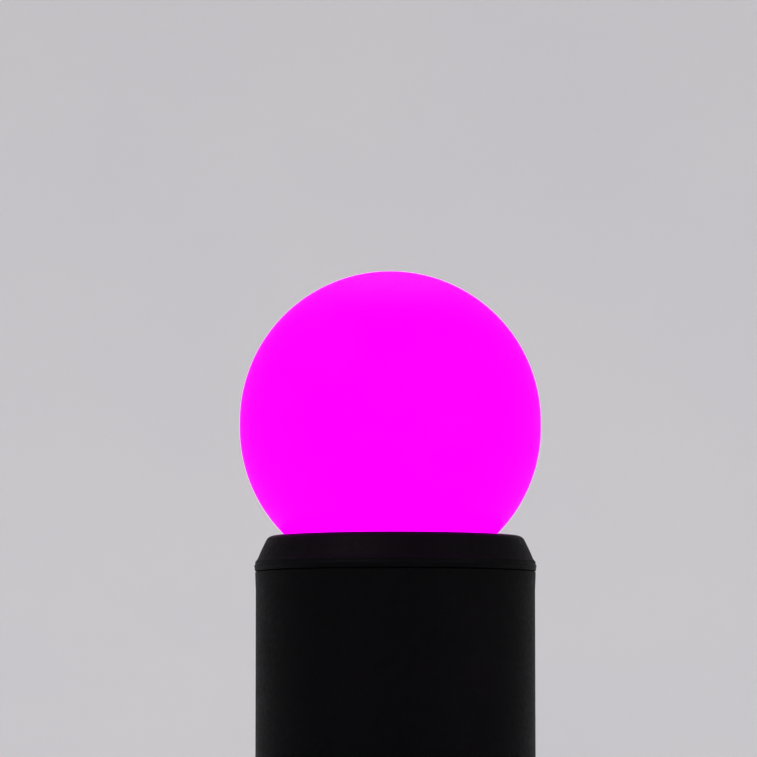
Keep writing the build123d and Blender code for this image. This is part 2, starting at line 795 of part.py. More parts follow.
# The rivet towards -Y also clamps the shell's terminal, so its tail is lower.
with BuildPart() as rivets:
    for y, tail_z in ((rivet_y, floor_low_z), (-rivet_y, strip_low_z)):
        head_z = floor_top_z + shell_flange_thick
        with Locations((0, y, tail_z)):
            Cylinder(1.25, head_z - tail_z, align=MIN_Z)
            Cylinder(1.9, 0.7, align=(Align.CENTER, Align.CENTER, Align.MAX))
        with Locations((0, y, head_z)):
            Cylinder(1.7, 0.7, align=MIN_Z)
    fillet(rivets.edges().group_by(Axis.Z)[-1], radius=0.4)
save(rivets, "shell_rivets")

terminal_screws = pan_head_screws(
    [(terminal_x, 0), (-terminal_x, 0)], strip_low_z, 1, 2.6, 1.3, 6.0
)
save(terminal_screws, "terminal_screws")

# Two hexagonal posts hold the ceramic body over the base plate.
with BuildPart() as posts:
    for x in (post_x, -post_x):
        with BuildSketch(Plane.XY.offset(plate_top_z)):
            with Locations((x, 0)):
                RegularPolygon(2.5, 6, major_radius=False)
        extrude(amount=ceramic_low_z - plate_top_z)
        with Locations((x, 0, ceramic_low_z)):
            Cylinder(1.5, 6.0, align=MIN_Z)
        with Locations((x, 0, plate_top_z)):
            Cylinder(1.2, 5.0, align=MIN_Z, mode=Mode.SUBTRACT)
save(posts, "socket_posts")

# ---------------------------------------------------------------- sprung centre contact
# Brass plunger that the bulb's tip presses down, and the coil spring under its head.
plunger_top_z = bulb_tip_z - contact_gap
head_thick = 2.3
head_low_z = plunger_top_z - head_thick
with BuildPart() as plunger:
    with Locations((0, 0, head_low_z)):
        Cylinder(4.4, head_thick, align=MIN_Z)
    fillet(plunger.edges().group_by(Axis.Z)[-1], radius=0.9)
    with Locations((0, 0, head_low_z)):
        Cylinder(1.6, head_low_z - floor_low_z - 0.8, align=(Align.CENTER, Align.CENTER, Align.MAX))
save(plunger, "contact_plunger")

spring_wire, spring_radius, spring_turns = 0.35, 2.9, 6
spring_length = head_low_z - floor_low_z - 2 * spring_wire - 0.1
with BuildPart() as spring:
    with BuildLine() as coil:
        Helix(
            pitch=spring_length / spring_turns,
            height=spring_length,
            radius=spring_radius,
            center=(0, 0, floor_low_z + spring_wire + 0.05),
        )
    with BuildSketch(Plane(origin=coil.line @ 0, z_dir=coil.line % 0)):
        Circle(spring_wire)
    sweep(path=coil.wires()[0], is_frenet=True)
save(spring, "contact_spring")

# ---------------------------------------------------------------- earth point
earth_place = (-11.0, -9.0)
tag_thick = 0.8
with BuildPart() as earth_tag:
    with BuildSketch(Plane.XY.offset(plate_top_z)):
        with Locations(earth_place):
            Circle(3.2)
        with Locations((earth_place[0] + 2.6, earth_place[1] - 2.6)):
            Rectangle(6.0, 2.4, rotation=-45)
        with Locations(earth_place):
            Circle(1.6, mode=Mode.SUBTRACT)
    extrude(amount=tag_thick)
save(earth_tag, "earth_tag")

earth_screw = pan_head_screws([earth_place], plate_top_z + tag_thick, -1, 2.6, 1.5, 2.9)
save(earth_screw, "earth_screw")
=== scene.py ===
"""Looks of a smart colour bulb, lit in magenta, in its black table holder."""

import math

import bpy
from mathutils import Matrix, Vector


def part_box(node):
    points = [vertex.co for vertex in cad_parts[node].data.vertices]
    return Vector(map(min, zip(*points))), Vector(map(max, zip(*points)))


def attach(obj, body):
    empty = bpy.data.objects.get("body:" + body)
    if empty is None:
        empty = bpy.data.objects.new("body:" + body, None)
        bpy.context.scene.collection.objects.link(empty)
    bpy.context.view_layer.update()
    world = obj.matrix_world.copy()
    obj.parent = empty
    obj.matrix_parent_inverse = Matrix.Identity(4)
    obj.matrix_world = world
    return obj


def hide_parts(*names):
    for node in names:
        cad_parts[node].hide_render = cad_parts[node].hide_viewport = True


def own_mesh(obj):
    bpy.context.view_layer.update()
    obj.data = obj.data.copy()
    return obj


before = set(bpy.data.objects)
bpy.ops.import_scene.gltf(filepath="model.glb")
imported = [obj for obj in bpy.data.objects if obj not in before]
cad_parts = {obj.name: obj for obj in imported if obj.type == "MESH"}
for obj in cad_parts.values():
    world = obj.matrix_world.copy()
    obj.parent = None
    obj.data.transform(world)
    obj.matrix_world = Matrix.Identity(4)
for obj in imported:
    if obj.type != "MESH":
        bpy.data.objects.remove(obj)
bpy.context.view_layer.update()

# ---------------------------------------------------------------- opal globe
# The globe is blown in one piece from opal polycarbonate, a milk-white plastic that spreads the
# light of the LEDs so evenly that the lit globe shows no bright spot. Its neck ends in a straight
# spigot that is glued into the housing.
MM = 0.001


def node_box(node):
    """A CAD node's lowest and highest corners, in millimetres."""
    low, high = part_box(node)
    return low / MM, high / MM


def arc(centre_radius, centre_z, radius, start, end, steps):
    """Points of an arc in a profile, from one angle to another. 0 is outwards and 90 is up."""
    turns = [math.radians(start + (end - start) * n / steps) for n in range(steps + 1)]
    return [
        (centre_radius + radius * math.cos(t), centre_z + radius * math.sin(t)) for t in turns
    ]


def select_only(*pieces):
    """Selects these pieces and nothing else, and makes the first of them the active one."""
    bpy.ops.object.select_all(action="DESELECT")
    for piece in pieces:
        piece.select_set(True)
    if pieces:
        bpy.context.view_layer.objects.active = pieces[0]


def set_in_place(piece):
    """Moves a piece's place and turn into its mesh, so that its object sits at the origin."""
    select_only(piece)
    bpy.ops.object.transform_apply(location=True, rotation=True, scale=True)


def turned(name, profile, form="ring", sides=128, axis_x=0.0):
    """A piece turned about an upright axis: a circle is raised and widened from one point of the
    profile to the next. The points are (radius, height) in millimetres. A ring comes back to the
    first point, a solid starts as a disc, and an open piece is a skin with no thickness yet."""
    select_only()
    radius, height = profile[0]
    bpy.ops.mesh.primitive_circle_add(
        vertices=sides,
        radius=radius * MM,
        location=(axis_x * MM, 0, height * MM),
        fill_type="NGON" if form == "solid" else "NOTHING",
    )
    piece = bpy.context.object
    piece.name = name
    bpy.ops.object.mode_set(mode="EDIT")
    for next_radius, next_height in profile[1:] + (profile[:1] if form == "ring" else []):
        rise = (next_height - height) * MM
        bpy.ops.mesh.extrude_region_move(TRANSFORM_OT_translate={"value": (0, 0, rise)})
        widen = next_radius / radius
        pivot = (axis_x * MM, 0, next_height * MM)
        bpy.ops.transform.resize(value=(widen, widen, 1), center_override=pivot)
        radius, height = next_radius, next_height
    bpy.ops.mesh.select_all(action="SELECT")
    bpy.ops.mesh.remove_doubles(threshold=0.0005 * MM)
    bpy.ops.mesh.normals_make_consistent(inside=False)
    bpy.ops.object.mode_set(mode="OBJECT")
    set_in_place(piece)
    return piece


def apply_modifier(piece, kind, **settings):
    """Adds a modifier with its settings to a piece, and applies it."""
    bpy.context.view_layer.objects.active = piece
    modifier = piece.modifiers.new(kind.title(), kind)
    for setting, value in settings.items():
        setattr(modifier, setting, value)
    bpy.ops.object.modifier_apply(modifier=modifier.name)


def smooth(piece, sharpest=30):
    """Shades a piece smooth, except across edges sharper than that many degrees."""
    select_only(piece)
    bpy.ops.object.shade_smooth_by_angle(angle=math.radians(sharpest))


def soften(piece, width, sharpest=30):
    """Rounds a piece's sharp edges by a width in millimetres, then shades it smooth."""
    apply_modifier(
        piece,
        "BEVEL",
        width=width * MM,
        segments=3,
        limit_method="ANGLE",
        angle_limit=math.radians(sharpest),
        use_clamp_overlap=True,
    )
    smooth(piece, sharpest)


def linear(shade):
    """A colour written as sRGB hex, such as #ff00fe, as the linear colour that Blender uses."""
    parts = [int(shade[n : n + 2], 16) / 255 for n in (1, 3, 5)]
    return [p / 12.92 if p <= 0.04045 else ((p + 0.055) / 1.055) ** 2.4 for p in parts] + [1.0]


def add_node(material, kind, inputs=None, **settings):
    """Adds a node. Each input is given a value, or the output of another node that it takes."""
    node = material.node_tree.nodes.new(kind)
    for setting, value in settings.items():
        setattr(node, setting, value)
    for socket, value in (inputs or {}).items():
        if isinstance(value, bpy.types.NodeSocket):
            material.node_tree.links.new(value, node.inputs[socket])
        else:
            node.inputs[socket].default_value = value
    return node


MIX_A, MIX_B, MIX_RESULT = 6, 7, 2  # the colour sockets of a Mix node


def place_on(material):
    """Where a point of the surface is, in the object's own coordinates."""
    return add_node(material, "ShaderNodeTexCoord").outputs["Object"]


def mask_between(material, value, low, high):
    """A mask that rises from 0 to 1 as a value goes from low to high; it falls if low is more."""
    return add_node(
        material, "ShaderNodeMapRange", {"Value": value, "From Min": low, "From Max": high}
    ).outputs["Result"]


def surface(
    name,
    shade,
    other_shade,
    rough,
    grain,
    relief,
    metallic=0.0,
    swing=0.08,
    stretch=(1, 1, 1),
    patch=12.0,
    extra=None,
):
    """A finish: two close shades in soft patches, and a fine grain that varies the roughness by
    its swing and stands up by its relief. Grain, relief and patch are in millimetres. Extra
    holds more settings of the shader."""
    material = bpy.data.materials.new(name)
    material.use_nodes = True
    material.node_tree.nodes.clear()
    place = place_on(material)
    along = add_node(material, "ShaderNodeMapping", {"Vector": place, "Scale": stretch})
    lumps = add_node(
        material,
        "ShaderNodeTexNoise",
        {
            "Vector": along.outputs["Vector"],
            "Scale": 1 / (grain * MM),
            "Detail": 3.0,
            "Roughness": 0.6,
        },
    ).outputs["Fac"]
    patches = add_node(
        material,
        "ShaderNodeTexNoise",
        {"Vector": place, "Scale": 1 / (patch * MM), "Detail": 2.0},
    ).outputs["Fac"]
    contrast = mask_between(material, patches, 0.35, 0.65)
    tint = add_node(
        material,
        "ShaderNodeMix",
        {0: contrast, MIX_A: linear(shade), MIX_B: linear(other_shade)},
        data_type="RGBA",
    ).outputs[MIX_RESULT]
    roughness = add_node(
        material,
        "ShaderNodeMapRange",
        {
            "Value": lumps,
            "From Min": 0.3,
            "From Max": 0.7,
            "To Min": rough - swing,
            "To Max": rough + swing,
        },
    ).outputs["Result"]
    relief_normal = add_node(
        material, "ShaderNodeBump", {"Height": lumps, "Strength": 1.0, "Distance": relief * MM}
    ).outputs["Normal"]
    shader = add_node(
        material,
        "ShaderNodeBsdfPrincipled",
        {
            "Base Color": tint,
            "Roughness": roughness,
            "Metallic": metallic,
            "Normal": relief_normal,
            **(extra or {}),
        },
    )
    add_node(material, "ShaderNodeOutputMaterial", {"Surface": shader.outputs["BSDF"]})
    return material


def shader_of(material):
    """The shader that gives a finish its colour and gloss."""
    return material.node_tree.nodes["Principled BSDF"]


def finish(piece, material):
    """Gives a new piece its only material."""
    piece.data.materials.clear()
    piece.data.materials.append(material)


globe_low, globe_high = node_box("globe_diffuser")
globe_radius = globe_high.x
globe_band, globe_wall = 1.2, 1.4
globe_centre_z = globe_high.z - globe_radius
neck_radius, spigot_radius = 19.5, 17.9
neck_turn = -math.degrees(math.acos(neck_radius / globe_radius))
globe_underside = arc(0, globe_centre_z - globe_band, globe_radius, neck_turn, 0, 28)
globe = turned(
    "opal_globe",
    [(spigot_radius, globe_low.z), (spigot_radius, globe_underside[0][1])]
    + globe_underside
    + arc(0, globe_centre_z, globe_radius, 0, 90, 48),
    form="open",
    sides=160,
)
apply_modifier(globe, "SOLIDIFY", thickness=globe_wall * MM, offset=-1.0, use_even_offset=True)
soften(globe, 0.2)

# Lit opal polycarbonate, blown smooth: it glows evenly in the colour of its LEDs, and what is
# left of its gloss is soft and broad. Its own white is drowned by the light, and its base colour
# is painted the magenta of that light in place of the opal's milk white.
lit_opal = surface(
    "blown_opal_polycarbonate_lit",
    # painted light: the two base shades are the magenta of the LEDs' light, not the opal's own
    # white
    "#ff00fe",
    "#fb02ff",
    rough=0.5,
    grain=0.8,
    relief=0.002,
    extra={"IOR": 1.585, "Specular IOR Level": 0.004, "Emission Strength": 2.0},
)
cloud = lit_opal.node_tree.nodes["Noise Texture"].outputs["Fac"]
glow = add_node(
    lit_opal,
    "ShaderNodeMix",
    {0: cloud, MIX_A: linear("#ff00fe"), MIX_B: linear("#fc00fe")},
    data_type="RGBA",
).outputs[MIX_RESULT]
lit_opal.node_tree.links.new(glow, shader_of(lit_opal).inputs["Emission Color"])
finish(globe, lit_opal)
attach(globe, "bulb")
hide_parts("globe_diffuser")

# ---------------------------------------------------------------- bulb housing
# White moulded cone between the globe and the metal cap. Its top has a lip round the globe's
# neck and its foot ends in a spigot that the cap's skirt is crimped onto.
housing_low, housing_high = node_box("bulb_housing")
housing_top = housing_high.z
shoulder_z = node_box("cap_shell")[1].z
lip_radius, lip_bore = 20.0, 18.0
shoulder_radius, foot_radius, foot_bore = 14.5, 12.8, 11.0
wall_foot, wall_head = 57.0, 82.0  # where the inside starts to widen, and where it ends
housing = turned(
    "housing_cone",
    [
        (lip_bore, housing_top),
        (lip_radius - 0.4, housing_top),
        (lip_radius, housing_top - 0.4),
        (lip_radius, housing_top - 1.6),
        (19.55, housing_top - 1.75),
        (19.55, housing_top - 2.25),
        (19.75, housing_top - 2.4),
        (14.72, shoulder_z + 2.6),
        (14.55, shoulder_z + 2.45),
        (14.35, shoulder_z + 2.35),
        (14.3, shoulder_z + 1.75),
        (shoulder_radius, shoulder_z + 1.6),
        (shoulder_radius, shoulder_z),
        (foot_radius, shoulder_z),
        (foot_radius, housing_low.z),
        (foot_bore, housing_low.z),
        (foot_bore, wall_foot),
        (foot_bore + 2.2, wall_foot + 0.5),
        (lip_bore - 0.8, wall_head),
        (lip_bore, wall_head),
    ],
)
soften(housing, 0.12, sharpest=20)

# Moulded polycarbonate, white, from a spark-eroded mould: an even satin with a grain finer than
# it is drawn here, which would not show at its real 0.05 mm.
white_plastic = surface(
    "moulded_white_polycarbonate",
    "#e9e9e6",
    "#e4e4e1",
    rough=0.42,
    grain=0.35,
    relief=0.012,
    extra={"IOR": 1.585, "Subsurface Weight": 0.05, "Subsurface Scale": 0.5 * MM},
)
finish(housing, white_plastic)
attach(housing, "bulb")
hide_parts("bulb_housing")

# ---------------------------------------------------------------- holder collar
# Turned aluminium ring that closes the top of the holder. A wide chamfer leads up to a rounded
# rim, a bead runs under the chamfer, and the spigot below it presses into the cup.
collar_low, collar_high = node_box("holder_collar")
cup_x = (collar_low.x + collar_high.x) / 2
lip = (collar_high.x - collar_low.x) / 2
rim = collar_high.z
mouth_radius, spigot_outside, spigot_inside = 23.4, 26.45, 25.0
collar = turned(
    "collar_ring",
    [
        (spigot_inside, rim - 5.5),
        (mouth_radius, rim - 2.6),
        (mouth_radius, rim - 0.4),
        *arc(mouth_radius + 0.4, rim - 0.4, 0.4, 180, 90, 5)[1:],
        (24.35, rim),
        *arc(24.35, rim - 1.5, 1.5, 90, 24, 10)[1:],
        (26.6, rim - 2.7),
        (27.4, rim - 4.55),
        (27.62, rim - 4.85),
        (27.86, rim - 5.1),
        *arc(lip - 0.5, rim - 6.0, 0.5, 50, -30, 8),
        (lip - 0.12, rim - 6.95),
        (spigot_outside, rim - 6.95),
        (spigot_outside, collar_low.z),
        (spigot_inside, collar_low.z),
    ],
    sides=160,
    axis_x=cup_x,
)
soften(collar, 0.1)

# Aluminium with a black powder coat, sprayed and baked: deep matt black, with a faint orange
# peel that breaks up its soft highlights. The peel is drawn at 0.9 mm, as on a real coat.
powder_coat = surface(
    "black_powder_coat_on_aluminium",
    "#020203",
    "#040304",
    rough=0.54,
    grain=0.9,
    relief=0.04,
    swing=0.08,
    patch=18.0,
    extra={"Specular IOR Level": 0.03},
)
finish(collar, powder_coat)
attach(collar, "holder")
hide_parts("holder_collar")

# ---------------------------------------------------------------- holder cup
# Tube of drawn aluminium, with the same coat as the collar. It is swaged out a little at its
# top to meet the collar's bead, and both ends have a fine rounded edge.
cup_low, cup_high = node_box("holder_cup")
cup_outside, cup_inside = 27.75, 26.55
cup = turned(
    "cup_tube",
    [
        (cup_inside, cup_low.z),
        (cup_outside - 0.25, cup_low.z),
        (cup_outside, cup_low.z + 0.25),
        (cup_outside, rim - 10.9),
        (cup_outside + 0.03, rim - 10.0),
        (cup_outside + 0.09, rim - 8.6),
        (lip - 0.16, cup_high.z - 0.1),
        (lip - 0.26, cup_high.z),
        (cup_inside, cup_high.z),
    ],
    sides=160,
    axis_x=cup_x,
)
smooth(cup)
finish(cup, powder_coat)
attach(cup, "holder")
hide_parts("holder_cup")

# ---------------------------------------------------------------- base ring
# Cast iron ring that weighs the holder down. Its outside is turned to match the cup, its back is
# drilled and spot-faced for the cable's grommet, and the base plate sits in its underside.
ring_low, ring_high = node_box("base_ring")
grommet_low, grommet_high = node_box("cable_grommet")
cable_z = (grommet_low.z + grommet_high.z) / 2
plate_top, seam = 4.6, 19.0
ring_bore, plate_recess, ring_spigot = 20.5, 25.6, 26.4
heel = 0.7
base_ring = turned(
    "cast_base_ring",
    [
        (ring_bore, plate_top),
        (plate_recess, plate_top),
        (plate_recess, ring_low.z),
        (cup_outside - heel, ring_low.z),
        *arc(cup_outside - heel, ring_low.z + heel, heel, -90, 0, 6)[1:],
        (cup_outside, seam - 0.25),
        (cup_outside - 0.25, seam),
        (ring_spigot, seam),
        (ring_spigot, ring_high.z),
        (ring_bore + 2.0, ring_high.z),
        (ring_bore, ring_high.z - 2.0),
    ],
    sides=160,
    axis_x=cup_x,
)


def drill(piece, radius, low, high):
    """Bores a round hole through a piece, from one point to another, in millimetres."""
    low, high = Vector(low), Vector(high)
    turn = (high - low).to_track_quat("Z", "Y").to_euler()
    select_only()
    bpy.ops.mesh.primitive_cylinder_add(
        vertices=64,
        radius=radius * MM,
        depth=(high - low).length * MM,
        location=(low + high) / 2 * MM,
        rotation=turn,
    )
    bit = bpy.context.object
    apply_modifier(piece, "BOOLEAN", object=bit, operation="DIFFERENCE", solver="EXACT")
    bpy.data.objects.remove(bit)


def on_circle(radius, turn):
    """Across and back on a circle about the holder's axis, at a turn in degrees."""
    return (
        cup_x + radius * math.cos(math.radians(turn)),
        radius * math.sin(math.radians(turn)),
    )


spot_face_y = grommet_high.y - 1.6
outside_y = 32  # well behind the ring
drill(base_ring, 4.7, (cup_x, 15, cable_z), (cup_x, outside_y, cable_z))
drill(base_ring, 6.6, (cup_x, spot_face_y, cable_z), (cup_x, outside_y, cable_z))
base_screw_circle, screw_hole_top = 22.6, 11.6
for turn in (30, 150, 270):
    x, y = on_circle(base_screw_circle, turn)
    drill(base_ring, 1.3, (x, y, 3), (x, y, screw_hole_top))
soften(base_ring, 0.12)

# The same coat over a cast and turned surface: the peel is coarser and a little deeper, because
# the casting's own skin shows through.
coated_casting = surface(
    "black_powder_coat_on_cast_iron",
    "#020203",
    "#050506",
    rough=0.6,
    grain=1.3,
    relief=0.07,
    patch=15.0,
    extra={"Specular IOR Level": 0.05},
)
finish(base_ring, coated_casting)
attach(base_ring, "holder")
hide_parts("base_ring")

# ---------------------------------------------------------------- cable grommet
# Moulded rubber bush, pushed into the ring's hole from outside. Its flange rests on the spot
# face and its mouth is flared, so that a cable bends over it without being cut.
# The profile's heights run along the bush, from its end inside the base out to its mouth.
cable_bore, bush_neck, barb_radius = 3.2, 4.6, 5.2
grommet = turned(
    "cable_bush",
    [
        (cable_bore, -grommet_low.y),
        (barb_radius, -grommet_low.y),
        (barb_radius, -19.6),
        (bush_neck, -19.6),
        (bush_neck, -spot_face_y),
        (6.1, -spot_face_y),
        *arc(5.7, -grommet_high.y + 0.6, 0.6, 0, -90, 6),
        (4.1, -grommet_high.y),
        *arc(4.1, -grommet_high.y + 0.9, 0.9, -90, -180, 6)[1:],
        (cable_bore, -grommet_high.y + 3.0),
        (cable_bore, -22.0),
        (cable_bore + 0.15, -21.8),
        (cable_bore + 0.15, -21.2),
        (cable_bore, -21.0),
    ],
    sides=72,
)
grommet.rotation_euler = (math.pi / 2, 0, 0)
grommet.location = (cup_x * MM, 0, cable_z * MM)
set_in_place(grommet)
soften(grommet, 0.1)

# Moulded EPDM rubber: black, dull, and with the fine bloom that such rubber gets.
black_rubber = surface(
    "moulded_black_rubber",
    "#101010",
    "#161616",
    rough=0.78,
    grain=0.5,
    relief=0.02,
    patch=6.0,
    extra={"Specular IOR Level": 0.35},
)
finish(grommet, black_rubber)
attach(grommet, "holder")
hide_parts("cable_grommet")

# ---------------------------------------------------------------- rubber feet
# Three moulded discs, stuck to the base plate. Each has a rounded edge, a shallow dished
# middle and two grip rings in the face that it stands on.
pad_top = node_box("rubber_feet")[1].z
pad_radius, pad_circle = 4.3, 21.0


def copy_at(piece, name, x, y, z=0.0, turn=0.0):
    """A copy of a piece, with its own mesh, moved by millimetres and turned about +Z."""
    select_only(piece)
    bpy.ops.object.duplicate(linked=False)
    copy = bpy.context.object
    copy.name = name
    copy.rotation_euler = (0, 0, math.radians(turn))
    copy.location = (x * MM, y * MM, z * MM)
    set_in_place(copy)
    return copy


def join(pieces, name):
    """Joins pieces into one, which takes the name."""
    select_only(*pieces)
    bpy.ops.object.join()
    bpy.context.object.name = name
    return bpy.context.object


foot = turned(
    "foot",
    [
        (1.6, 0.35),
        (1.9, 0.0),
        (2.4, 0.0),
        (2.5, 0.25),
        (2.7, 0.25),
        (2.8, 0.0),
        (3.2, 0.0),
        (3.3, 0.25),
        (3.5, 0.25),
        (3.6, 0.0),
        *arc(pad_radius - 0.6, 0.6, 0.6, -90, 0, 6),
        (pad_radius, pad_top - 0.15),
        (pad_radius - 0.15, pad_top),
    ],
    form="solid",
    sides=64,
)
smooth(foot, 40)
feet = [
    copy_at(foot, f"foot_{turn}", *on_circle(pad_circle, turn)) for turn in (90, 210, 330)
]
bpy.data.objects.remove(foot)
foot_pads = join(feet, "foot_pads")
finish(foot_pads, black_rubber)
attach(foot_pads, "holder")
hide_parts("rubber_feet")


# ---------------------------------------------------------------- base plate, screws and posts
# A sheet steel plate closes the base. Screws hold it to the cast ring, and hexagonal posts on it
# carry the socket. The CAD shapes stay, and get the finishes of real hardware.
def dress(material, *cad_nodes):
    """Gives CAD nodes a finish in place of their plain colour."""
    for cad_node in cad_nodes:
        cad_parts[cad_node].material_slots[0].material = material


# Sheet steel, black electrophoretic paint: thin, even and half-matt, so the steel's rolling
# still shows as a faint grain along one way.
painted_sheet = surface(
    "black_dipped_sheet_steel",
    "#0d0d0e",
    "#111112",
    rough=0.42,
    grain=0.5,
    relief=0.006,
    stretch=(0.25, 1, 1),
)
dress(painted_sheet, "base_plate")

# Steel with bright zinc plating: grey with faint blue and straw patches from the passivation,
# and fine lines from the machining.
zinc = surface(
    "zinc_plated_steel",
    "#b9bdc4",
    "#c6c0b0",
    rough=0.34,
    grain=0.3,
    relief=0.004,
    metallic=1.0,
    patch=2.5,
)
dress(zinc, "base_screws", "post_screws", "socket_posts", "terminal_screws", "led_board_screws")

# ---------------------------------------------------------------- ceramic socket
# The socket's body is pressed steatite with a cream glaze. The screw shell stands in its bore,
# and the screws of its terminals are sunk under its floor.
def overlay(material, mask, shade):
    """Paints a shade over a finish's colour where a mask is 1."""
    colour = shader_of(material).inputs["Base Color"]
    painted = add_node(
        material,
        "ShaderNodeMix",
        {0: mask, MIX_A: colour.links[0].from_socket, MIX_B: linear(shade)},
        data_type="RGBA",
    ).outputs[MIX_RESULT]
    material.node_tree.links.new(painted, colour)


# Glazed steatite: a clear, wet gloss over a warm white body, pulled thin over the edges, with a
# few fine specks of iron.
glaze = surface(
    "cream_glazed_steatite",
    "#ded8c8",
    "#e6e0d2",
    rough=0.16,
    grain=2.2,
    relief=0.03,
    swing=0.03,
    extra={"Coat Weight": 0.6, "Coat Roughness": 0.06},
)
specks = add_node(
    glaze,
    "ShaderNodeTexVoronoi",
    {"Vector": place_on(glaze), "Scale": 1 / (2.6 * MM), "Randomness": 1.0},
).outputs["Distance"]
overlay(glaze, mask_between(glaze, specks, 0.09, 0.05), "#8d7f68")
dress(glaze, "socket_body")

# Rolled brass: warm yellow, with the fine drawing lines of the strip and a light brown tarnish
# in patches.
brass = surface(
    "rolled_brass",
    "#d9b665",
    "#c79c4c",
    rough=0.28,
    grain=0.4,
    relief=0.004,
    metallic=1.0,
    stretch=(1, 1, 4),
    patch=5.0,
)
dress(
    brass,
    "screw_shell",
    "centre_terminal",
    "shell_terminal",
    "shell_rivets",
    "contact_plunger",
    "earth_screw",
)

# ---------------------------------------------------------------- contact spring
# Compression spring of stainless wire, coiled round the plunger's stem. Its end coils are closed
# and ground flat, so that it stands square on the terminal and under the plunger's head.
spring_low, spring_high = node_box("contact_spring")
wire_radius = 0.35
coil_radius = spring_high.x - wire_radius
ground_off = 0.2  # how far the grinding goes into the wire
open_turns = 4
end_pitch = 2 * wire_radius + 0.02
first_z = spring_low.z + wire_radius - ground_off
last_z = spring_high.z - wire_radius + ground_off
open_pitch = (last_z - first_z - 2 * end_pitch) / open_turns


def coil(start_z, pitch, turns):
    """Whole turns of the wire from a height, in millimetres, each a pitch above the last."""
    select_only()
    bpy.ops.mesh.primitive_circle_add(
        vertices=16,
        radius=wire_radius * MM,
        location=(coil_radius * MM, 0, start_z * MM),
        rotation=(math.pi / 2, 0, 0),
    )
    wound = bpy.context.object
    set_in_place(wound)
    apply_modifier(
        wound,
        "SCREW",
        iterations=turns,
        screw_offset=pitch * MM,
        steps=48,
        render_steps=48,
    )
    return wound


spring = join(
    [
        coil(first_z, end_pitch, 1),
        coil(first_z + end_pitch, open_pitch, open_turns),
        coil(last_z - end_pitch, end_pitch, 1),
    ],
    "contact_coil_spring",
)
bpy.ops.object.mode_set(mode="EDIT")
bpy.ops.mesh.select_all(action="SELECT")
bpy.ops.mesh.remove_doubles(threshold=0.005 * MM)
bpy.ops.mesh.fill_holes(sides=0)
for z, side in ((spring_low.z, 1), (spring_high.z, -1)):
    bpy.ops.mesh.select_all(action="SELECT")
    bpy.ops.mesh.bisect(
        plane_co=(0, 0, z * MM),
        plane_no=(0, 0, side),
        clear_inner=True,
        use_fill=True,
        threshold=0.0005 * MM,
    )
bpy.ops.mesh.select_all(action="SELECT")
bpy.ops.mesh.normals_make_consistent(inside=False)
bpy.ops.object.mode_set(mode="OBJECT")
smooth(spring, 40)

# Stainless spring wire, drawn: bright, with fine lines and a faint straw bloom from its heat
# treatment.
spring_wire = surface(
    "drawn_stainless_wire",
    "#c2c4c7",
    "#bdb6a6",
    rough=0.25,
    grain=0.2,
    relief=0.002,
    metallic=1.0,
)
finish(spring, spring_wire)
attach(spring, "plunger")
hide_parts("contact_spring")
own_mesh(spring)

# ---------------------------------------------------------------- earth tag and radio metal
# The holder's earth tag, the radio's shield can and its pins are all steel or copper with tin.

# Tinned steel and tinned copper pins: soft, slightly grey metal with a mottled spangle.
tinned = surface(
    "tinned_steel",
    "#cfd0d0",
    "#b9bbbd",
    rough=0.36,
    grain=0.6,
    relief=0.005,
    metallic=1.0,
    patch=1.5,
)
dress(tinned, "earth_tag", "radio_shield", "radio_pins")

# ---------------------------------------------------------------- screw cap
# The cap is brass, drawn and rolled to the E27 thread and then nickel-plated. Black glass holds
# its centre contact, and a dot of solder joins the driver's lead to that contact.

# Nickel plate over rolled brass: a warm, bright grey with soft wear marks round the thread.
nickel = surface(
    "nickel_plated_brass",
    "#cdc9c0",
    "#bdb8ad",
    rough=0.24,
    grain=0.5,
    relief=0.005,
    metallic=1.0,
    stretch=(1, 1, 3),
    patch=4.0,
)
dress(nickel, "cap_shell", "cap_contact")

# Vitrite, a black lead glass poured into the cap: glossy, with a few shallow flow waves.
vitrite = surface(
    "black_cap_glass",
    "#08080a",
    "#0d0d10",
    rough=0.12,
    grain=2.0,
    relief=0.05,
    swing=0.04,
)
dress(vitrite, "cap_insulator")

contact_face = node_box("cap_contact")[0].z
solder_dot = turned(
    "contact_solder_dot",
    [
        *arc(0, contact_face + 1.02, 1.0, -72, -24, 6),
        (1.0, contact_face + 0.75),
        (0.9, contact_face + 0.9),
    ],
    form="solid",
    sides=40,
)
smooth(solder_dot, 50)

# Lead-free solder, run and set: silver grey and softly lumpy.
solder = surface(
    "run_solder",
    "#c9cbcd",
    "#a9acb0",
    rough=0.3,
    grain=0.5,
    relief=0.03,
    metallic=1.0,
    patch=1.0,
)
finish(solder_dot, solder)
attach(solder_dot, "bulb_foot")

# ---------------------------------------------------------------- heat sink, pad, board and seal
# A pressed aluminium cup takes the heat of the LED board through a soft pad. A silicone ring
# seals the globe's spigot.

# Pressed aluminium, bare: dull silver with fine drawing lines up its side.
pressed_aluminium = surface(
    "pressed_bare_aluminium",
    "#c8cacd",
    "#b8babd",
    rough=0.36,
    grain=0.3,
    relief=0.004,
    metallic=1.0,
    stretch=(1, 1, 0.15),
)
dress(pressed_aluminium, "heat_sink")

# Silicone filled with ceramic powder: blue-grey, matt and slightly dimpled.
gap_filler = surface(
    "ceramic_filled_silicone", "#8b9db4", "#8193ab", rough=0.7, grain=0.4, relief=0.02
)
dress(gap_filler, "thermal_pad")

# Cast silicone, unfilled: cloudy, half-matt grey.
silicone = surface(
    "cast_silicone", "#c9c9c7", "#bcbcba", rough=0.5, grain=0.7, relief=0.01
)
dress(silicone, "globe_seal")


